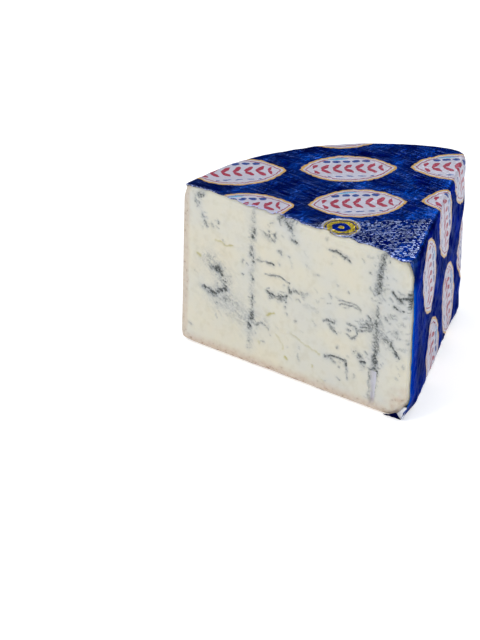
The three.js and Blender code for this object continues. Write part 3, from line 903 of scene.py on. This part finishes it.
VEINS = [
    # upper left, towards the rim
    (0.9, 0.9, (136.3, 86.6), (133.7, 87.2)),
    (0.4, 0.8, (138.9, 86.1), (136.9, 82.6)),
    (0.6, 0.8, (138.5, 82.7), (136.1, 80.5)),
    (0.55, 0.75, (134.1, 77.7), (132.7, 75.2)),
    (0.6, 0.85, (132, 73.1), (130, 70.2)), (0.4, 0.85, (127.5, 73.4), (126.8, 71.3)),
    (0.9, 0.7, (123.3, 75.2), (122.9, 74.7)),
    # left, below the middle: a dark patch and its tail
    # the wide faint veins here are partly mould haze and partly painted shadow
    (0.35, 6.0, (127.5, 51), (121, 46), (118, 41)),
    (0.3, 7.0, (124, 33), (112, 30), (106, 26)),
    (0.8, 1.4, (127.6, 49.6), (125.8, 47.4)),
    (1.25, 2.0, (122.8, 48.6), (121.6, 46.8), (120.6, 45.5)),
    (0.75, 1.6, (118.2, 42.4), (117, 39)),
    (1.25, 1.4, (131.3, 34.6), (128.5, 33.3), (124.6, 32.6), (121.5, 35.2)),
    (1.15, 1.5, (121.5, 35.2), (117.2, 37.6)),
    # a wide faint haze: partly mould, partly painted shadow
    (0.4, 5.0, (122, 30), (114, 32)),
    (0.6, 0.8, (106.9, 58.2), (106.7, 57.6)),
    (0.5, 0.7, (103.8, 57.2), (103.4, 57)),
    (0.5, 0.7, (106.6, 50.2), (106.2, 49.8)),
    (0.6, 0.9, (97.3, 23.3), (94, 25.6), (89.7, 24.8)),
    # between the two needle lines
    (0.5, 1.4, (93, 78), (90, 75.5)),
    (0.7, 1.0, (90.8, 80), (89.5, 77), (87, 75.5)),
    (0.6, 0.9, (86.5, 80), (86, 77.5)),
    (0.75, 1.3, (85, 88.5), (81, 89.8), (77.5, 88.5)),
    (0.8, 1.1, (80, 90), (79, 87), (76, 86)),
    (0.6, 0.9, (76.4, 86), (76, 84)),
    (0.95, 1.0, (75.6, 80.6), (73, 79.2)),
    (0.8, 0.8, (83.4, 71), (82.4, 69.6)),
    (0.5, 0.6, (77.6, 70), (76.4, 69.4)),
    (0.5, 0.7, (97.6, 61.2), (92.8, 62.1)), (0.95, 0.8, (91.5, 62.1), (87.3, 61.6)),
    (0.6, 0.7, (83.5, 63.5), (83.1, 63.2)),
    (0.7, 0.6, (91.5, 54.6), (86, 55.9), (81, 56.2), (76, 53.8)),
    (1.0, 0.8, (90.7, 45.6), (87.4, 44.3), (82.5, 44.7), (77.9, 46.3)),
    (0.85, 1.0, (90.6, 45.4), (88.4, 42.8)), (0.7, 0.8, (88.4, 43), (81, 43.4)),
    (0.75, 0.8, (77.3, 52), (74.8, 49.2)), (0.7, 1.1, (75.8, 49.4), (72.8, 51.8)),
    (0.8, 0.7, (78.2, 42.9), (77.8, 42.4)),
    (0.6, 0.7, (78.7, 39.7), (78.3, 39.4)),
    (0.4, 1.2, (75.7, 51.7), (70, 51), (65, 51.7)),
    (0.45, 0.7, (72.2, 34.4), (71.8, 34)),
    # right of the middle
    (0.4, 0.7, (55, 86.9), (54, 86.9)),
    (0.95, 0.8, (52.1, 81.6), (48, 82.2), (44.4, 80.6), (38.8, 79.5)),
    (0.35, 0.6, (48, 83.6), (44.4, 82.2), (40, 81.4)),
    (0.5, 0.6, (46.8, 64), (46.3, 63.4)),
    (0.45, 0.6, (39.7, 61.8), (39.1, 61.2)),
    (0.6, 0.55, (45.6, 54.9), (39.8, 55.9), (34.2, 55.6), (32.1, 54.6)),
    (0.65, 0.55, (44.8, 53), (41.1, 53.9), (36.2, 54.3), (32.1, 53.7)),
    (0.6, 0.8, (32.6, 54.4), (31.8, 53.8)),
    (0.25, 1.4, (66, 45), (62, 45.4), (58.4, 44.6)),
    (0.6, 1.0, (28.3, 47.6), (26, 46), (23, 43.9)),
    (0.7, 0.7, (39, 43), (36.2, 43.9), (33.3, 42), (33.3, 38.8), (34.6, 36.6), (37.1, 36.1),
     (39.3, 37.2)),
    (0.6, 0.7, (39.4, 40.2), (38.9, 39.9)), (0.7, 0.6, (37.6, 40.5), (37.2, 40.1)),
    (0.8, 0.8, (53.9, 40.1), (51.8, 41.3), (47.6, 40.9)),
    (0.75, 0.8, (50.6, 39.1), (48, 37), (46, 35.2)), (0.4, 1.0, (50, 42.4), (47, 42.8)),
    (0.6, 0.7, (45, 28), (44.8, 27.5)),
    (1.0, 0.8, (52.6, 20), (46.7, 21.6), (42.7, 21.9), (40, 21.4), (39.2, 18.6)),
    (0.65, 0.8, (50.2, 19.9), (46.2, 18.8)), (0.45, 0.7, (38.9, 17.5), (38.2, 11.1)),
    (0.85, 1.2, (34, 28.9), (32, 28), (30.3, 26.4)),
    (1.1, 0.85, (30.7, 24.2), (27.6, 24.8)), (0.4, 1.2, (29.2, 23), (28, 22)),
    (0.5, 0.8, (27.5, 31.4), (26, 30)),
    # near the point
    (1.1, 0.8, (12.3, 70.5), (8.8, 68.1), (4.1, 68.8), (2, 69.9)),
    (1.2, 1.1, (8.9, 68.4), (7.9, 66.6)),
    (1.0, 1.0, (3.4, 72), (2.9, 69.5)),
    (1.25, 1.1, (3.1, 68.3), (2.6, 64)),
    (1.1, 0.85, (2.9, 64), (2.6, 60.5)),
    (1.0, 0.9, (10.6, 62.1), (8.4, 61.3), (6.2, 61.2)),
    (0.5, 1.1, (13, 57), (12, 56)),
    (0.4, 1.3, (15.3, 53.4), (14, 52.6)),
    (0.5, 1.1, (10, 47.6), (9, 46.5)),
    (0.4, 1.0, (6.4, 54.2), (5.6, 53.4)),
    (0.7, 1.6, (16.3, 43.2), (13.1, 41.8), (11, 39)),
    (0.95, 0.9, (12.4, 42), (11.4, 38.8), (7.8, 34.4)),
    (0.5, 1.4, (10.6, 47.5), (7.9, 48.9)),
    (0.45, 0.7, (14.5, 57), (9.6, 57.6)), (0.45, 0.7, (14, 55.6), (10, 55.8)),
    (0.8, 0.8, (15.9, 54.2), (15.4, 53.2)),
    (0.5, 0.8, (4.1, 43.4), (3.7, 43)),
    (0.5, 0.7, (2.1, 41.2), (1.9, 40.8)),
    (0.45, 0.8, (5, 29.8), (4.7, 29.2)),
]
# Cracks and tears in the paste: how deep, how wide, and their points.
CRACKS = [
    (0.8, 0.6, (124, 63.8), (117.4, 63.3), (114.2, 64), (104, 65.5)),
    (0.7, 0.8, (79.8, 24.5), (75, 25.2), (70.2, 24)),
    (0.9, 1.0, (123, 25), (121.3, 22.5), (119, 21)),
    (0.9, 1.0, (116.5, 23.5), (115, 21.2), (113, 20.4)),
    (0.9, 1.0, (110, 24), (108.3, 21.9), (106.5, 21.4)),
    (0.6, 0.6, (95, 36), (91, 34.5), (87, 32.5)),
]
# Flakes of paste that the knife raised: how high, how wide, and their points.
FLAKES = [
    (1.0, 1.0, (112, 23.5), (108, 23.9), (104.6, 23)),
    (0.9, 0.8, (97, 29.2), (93, 29.8), (89.3, 27.5)),
    (0.8, 0.9, (122, 24), (119, 21.5)),
]
# Cracks and small holes where the paste is butter-yellow.
BUTTER_SPOTS = [
    (0.5, 0.5, (74.7, 25.6), (65.2, 22.4), (60, 20.6)),
    (0.6, 0.6, (58.8, 20.7), (56.6, 19.9)),
    (0.9, 0.7, (90, 31.5), (85.8, 34)),
    (0.9, 0.8, (135.6, 52.8), (134.6, 52)),
    (1.0, 0.7, (77.6, 10.8), (76.8, 10.2)),
    (0.5, 0.7, (95, 14.6), (94, 13.8)),
    (0.7, 0.6, (60.4, 12), (59.8, 11)),
    (0.5, 0.6, (54, 5.4), (52.6, 4.6)),
    (0.7, 0.5, (124, 64.6), (117, 63.2), (113.5, 64)),
    (0.4, 0.5, (84, 22), (80, 18), (79, 15)),
]
# Patches where specks and short strokes of mould crowd together: middle and spread along the cut
# and up it, how many, and how dark.
CROWDS = [
    ((136.5, 84.5), (1.6, 2.6), 5, 0.45), ((131, 73), (1.6, 2.5), 4, 0.35),
    ((90, 78), (3, 2.2), 9, 0.45), ((81, 88), (3.5, 1.8), 12, 0.65), ((76, 83), (1.6, 3), 7, 0.6),
    ((86, 45), (5, 1.6), 9, 0.7), ((74, 50), (4, 1.8), 10, 0.55), ((66, 51), (4, 1.4), 6, 0.35),
    ((20, 82), (2.4, 5), 16, 0.6), ((19.5, 70), (3.6, 3), 12, 0.6), ((21, 50), (2.6, 8), 18, 0.55),
    ((29, 45), (5, 2.5), 14, 0.6), ((26, 47), (3.6, 3), 12, 0.6), ((14.5, 42), (2.4, 2.6), 14, 0.6),
    ((20.5, 30), (1.4, 6), 10, 0.7), ((22, 13), (2.8, 8), 10, 0.4),
    ((100.5, 75), (1.5, 5), 9, 0.5), ((100.5, 28), (1.9, 6), 14, 0.6),
    ((101, 50), (1.6, 8), 8, 0.4),
    ((121, 46), (4.5, 4), 14, 0.6), ((124, 34), (4, 2), 9, 0.6), ((112, 24), (7, 3), 10, 0.4),
    ((93, 25), (4, 2), 7, 0.5), ((48, 39), (3, 2), 5, 0.4), ((45, 19.5), (4, 1.6), 6, 0.4),
    ((31, 26), (3, 2.5), 8, 0.55), ((7, 66), (4, 4), 12, 0.6), ((2.2, 68), (1, 4), 9, 0.7),
    ((9, 50), (5, 6), 10, 0.4), ((12, 39), (4, 4), 10, 0.5), ((5, 36), (2.5, 8), 8, 0.35),
    ((45, 80), (5, 2), 5, 0.4),
]
# The needle channel's open foot, in millimetres like the marks.
OPEN_CHANNEL = {"at_foot": 23.2, "at_head": 23.0, "bottom": 3.5, "top": 23.5, "width": 4.4,
                "depth": 2.0}
# Faint strokes: how many, and where they start along the cut from the point, and up it.
FAINT_STROKES = 60
STROKES_FROM = 3
STROKES_SPAN = 138
STROKE_HEIGHTS = (4, 88)
# All small strokes: their slant in degrees and its spread, and between what their widths and their
# shares of strength lie.
STROKE_SLANT = (-25, 35)
STROKE_WIDTHS = (0.35, 0.75)
STROKE_SHARES = (0.5, 1.1)


def nearness(spots, width, points):
    """How near each spot is to a line through the points, from 0 well off it to 1 on it."""
    points = [np.array(p, float) for p in points]
    nearest = np.full(len(spots), np.inf)
    for start, end in zip(points, points[1:]):
        run = end - start
        t = np.clip((spots - start) @ run / max(run @ run, 1e-9), 0, 1)
        nearest = np.minimum(nearest, np.linalg.norm(spots - start - t[:, None] * run, axis=1))
    return np.exp(-(nearest / width) ** 2)


def small_strokes():
    """Short strokes of mould: faint ones all over the cut, most of them towards the point, and
    darker ones in crowds."""
    chance = random.Random(11)
    strokes = []

    def stroke(start, strength, longest):
        way = math.radians(chance.gauss(*STROKE_SLANT))
        reach = chance.uniform(0.2, longest) * np.array([-math.cos(way), math.sin(way)])
        strokes.append((strength * chance.uniform(*STROKE_SHARES),
                        chance.uniform(*STROKE_WIDTHS), start, start + reach))

    for _ in range(FAINT_STROKES):
        along = STROKES_FROM + chance.uniform(0, 1) ** 1.3 * STROKES_SPAN
        stroke(np.array([along, chance.uniform(*STROKE_HEIGHTS)]), 0.45, 3.5)
    for middle, spread, count, strength in CROWDS:
        for _ in range(count):
            stroke(np.array([chance.gauss(m, s) for m, s in zip(middle, spread)]), strength, 2.0)
    return strokes


def marks_on_cut(spots, here):
    """How strong the mould, its bloom, the cooler paste, the cracks, the raised flakes and the
    butter-yellow are at each spot of the cut."""
    waver = np.column_stack([
        1.0 * lumps(here, 3.2, 1) + 0.45 * lumps(here, 1.1, 2),
        1.0 * lumps(here, 3.2, 5) + 0.45 * lumps(here, 1.1, 6)])
    wavy = (spots - MARKS_FROM) / MARKS_SCALE + MARKS_FROM + waver
    # The growth is fibrous: its strands lie aslant, down towards the point.
    slant = np.column_stack([0.8 * here[:, 0] + 0.6 * here[:, 1],
                             0.8 * here[:, 1] - 0.6 * here[:, 0], here[:, 2]])
    patchy = np.clip(0.8 + 1.1 * lumps(slant / (3.6, 1.1, 1), 1, 8)
                     + 0.7 * lumps(here, 0.95, 9), 0.1, 1.25)
    smoky = np.clip(0.75 + 1.1 * lumps(slant / (4, 1.6, 1), 1, 21)
                    + 0.5 * lumps(here, 1.2, 22), 0.1, 1.4)
    growth, bloom, cool, torn, raised, butter = np.zeros((6, len(spots)))
    for strength, width, *points in NEEDLE_VEINS + VEINS + small_strokes():
        broken = patchy if width > EVEN_UP_TO else 0.45 + 0.55 * patchy
        drawn = wavy if width > STRAIGHT_UP_TO else wavy - 0.6 * waver
        growth = np.maximum(growth, strength * broken * nearness(drawn, width, points))
        bloom = np.maximum(bloom, 0.6 * strength * smoky * nearness(wavy, 2.0 * width, points))
        cool += 0.07 * strength * nearness(wavy, width + 7, points)
    for marks, amount in ((CRACKS, torn), (FLAKES, raised), (BUTTER_SPOTS, butter)):
        for strength, width, *points in marks:
            amount[:] = np.maximum(amount, strength * nearness(wavy, width, points))
    return growth, bloom, cool, torn, raised, butter


def open_channel(spots, here):
    """How deep each spot lies in the needle channel's open foot, from 0 to 1."""
    channel = OPEN_CHANNEL
    up_channel = ramp(spots[:, 1], channel["bottom"], channel["top"])
    middle = channel["at_foot"] + up_channel * (channel["at_head"] - channel["at_foot"])
    off_middle = (spots[:, 0] + 0.5 * lumps(here, 4, 17) - middle) / (
        channel["width"] / 2 * (0.7 + 0.3 * up_channel))
    level = ramp(spots[:, 1], channel["bottom"], channel["bottom"] + 2) * (
        1 - ramp(spots[:, 1], channel["top"] - 1, channel["top"]))
    return np.sqrt(np.clip(1 - off_middle ** 2, 0, 1)) * level


def rind_on_cut(places, spots, here):
    """How much rind shows: at the rim, at the worn foot, and along the base, with painted shade."""
    rim_side = ramp(spots[:, 0] + 0.8 * lumps(here, 5, 16), *RIM_RIND)
    # Along the base: the rind, and above it painted shade that darkens the paste towards the floor.
    base_rind_and_shade = 1 - ramp(spots[:, 1] + 1.2 * lumps(here, 5, 15), *BASE_RIND_AND_SHADE)
    outer_skin = 1 - ramp(spots[:, 1], *OUTER_SKIN)
    at_foot = worn_corner(places, *FOOT_RIND) * (1 + 1.5 * lumps(here, 3, 18))
    return np.max([0.65 * rim_side, 0.95 * base_rind_and_shade, 0.8 * at_foot, outer_skin], axis=0)


def fill_wrapper(places, ways, on_cut):
    """Fits the block to the wrapper: it fills it next to the cut, bulges where the rim is bare,
    lies clear of the creases further back, and is worn round at the wedge's point."""
    behind_cut = places[:, 1] - CUT_Y
    swell = SWELL - SHRINK * ramp(behind_cut, 6 * MM, 16 * MM)
    swell = swell[:, None] * ways
    swell[:, 1] = np.where(on_cut, 0, swell[:, 1])
    bare_rim = ((1 - ramp(behind_cut, 2 * MM, 5 * MM)) * ramp(-ways[:, 0], 0.4, 0.8)
                * (1 - ramp(places[:, 2], WRAP_TOP - 8 * MM, WRAP_TOP - 3 * MM)))
    places += swell
    places[:, 0] -= RIM_BULGE * bare_rim
    at_foot = worn_corner(places, *FOOT_WEAR)
    places[:, 0] -= FOOT_TUCK * at_foot
    places[:, 2] += FOOT_LIFT * at_foot - top_wear(places)


def cheese_piece():
    """The paste and its rind. Only the cut shows, so it alone has a fine mesh and the marks."""
    piece = copy_of_node("cheese", "cheese_paste")
    finish_with(piece, "REMESH", mode="VOXEL", voxel_size=PASTE_GRID, use_smooth_shade=True)
    mesh = piece.data
    centres, ways = read(mesh.polygons, "center"), read(mesh.polygons, "normal")
    pick_faces(piece, (ways[:, 1] < -FACES_FORWARD) & (centres[:, 1] < CUT_Y + CUT_REACH))
    bpy.ops.mesh.subdivide(number_cuts=EDGE_CUTS)
    bpy.ops.object.mode_set(mode="OBJECT")

    mesh = piece.data
    places, ways = read(mesh.vertices, "co"), read(mesh.vertex_normals, "vector")
    on_cut = (ways[:, 1] < -POINTS_FORWARD) & (places[:, 1] < CUT_Y + CUT_REACH)
    cut = np.nonzero(on_cut)[0]
    spots = np.column_stack([(POINT[0] - places[cut, 0]) / MM, places[cut, 2] / MM])
    here = np.column_stack([spots, np.zeros(len(cut))])
    fill_wrapper(places, ways, on_cut)
    growth, bloom, cool, torn, raised, butter = marks_on_cut(spots, here)
    groove = open_channel(spots, here)

    # The cut is drawn again on a flat plane, but for its rounded borders.
    border = np.max([1 - ramp(spots[:, 0], *POINT_BORDER), 1 - ramp(spots[:, 1], *BASE_BORDER),
                     ramp(spots[:, 1], *TOP_BORDER), ramp(spots[:, 0], *RIM_BORDER)], axis=0)
    depth = (CUT_DEPTH + 0.16 * lumps(here, 19, 11) + 0.10 * lumps(here, 6, 12)
             + 0.05 * lumps(here, 1.7, 13))
    depth += MOULD_DEPTH * growth + (CRACK_DEPTH * torn + BUTTER_DEPTH * butter) * (
        1 + lumps(here, 1.5, 14))
    depth += OPEN_CHANNEL["depth"] * groove - FLAKE_HEIGHT * raised
    flat = CUT_Y + border * (places[cut, 1] - CUT_Y)
    places[cut, 1] = flat + depth * (1 - 0.6 * border) * MM
    move_points(mesh, places)

    values = (growth * (1 - 0.9 * groove), bloom * (1 - groove), cool, groove, butter * 0.85,
              rind_on_cut(places[cut], spots, here))
    for name, value in zip(CHEESE_PAINTED, values):
        whole = np.zeros(len(places))
        whole[cut] = np.clip(value, 0, 1)
        paint(mesh, name, whole)
    piece.data.materials.append(cheese_material())
    only(piece)
    bpy.ops.object.shade_smooth()
    return piece


add_camera()
add_studio()

foil = foil_wrapper()
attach(foil, "root")
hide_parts("foil_wrap")

cheese = cheese_piece()
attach(cheese, "root")
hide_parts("cheese")
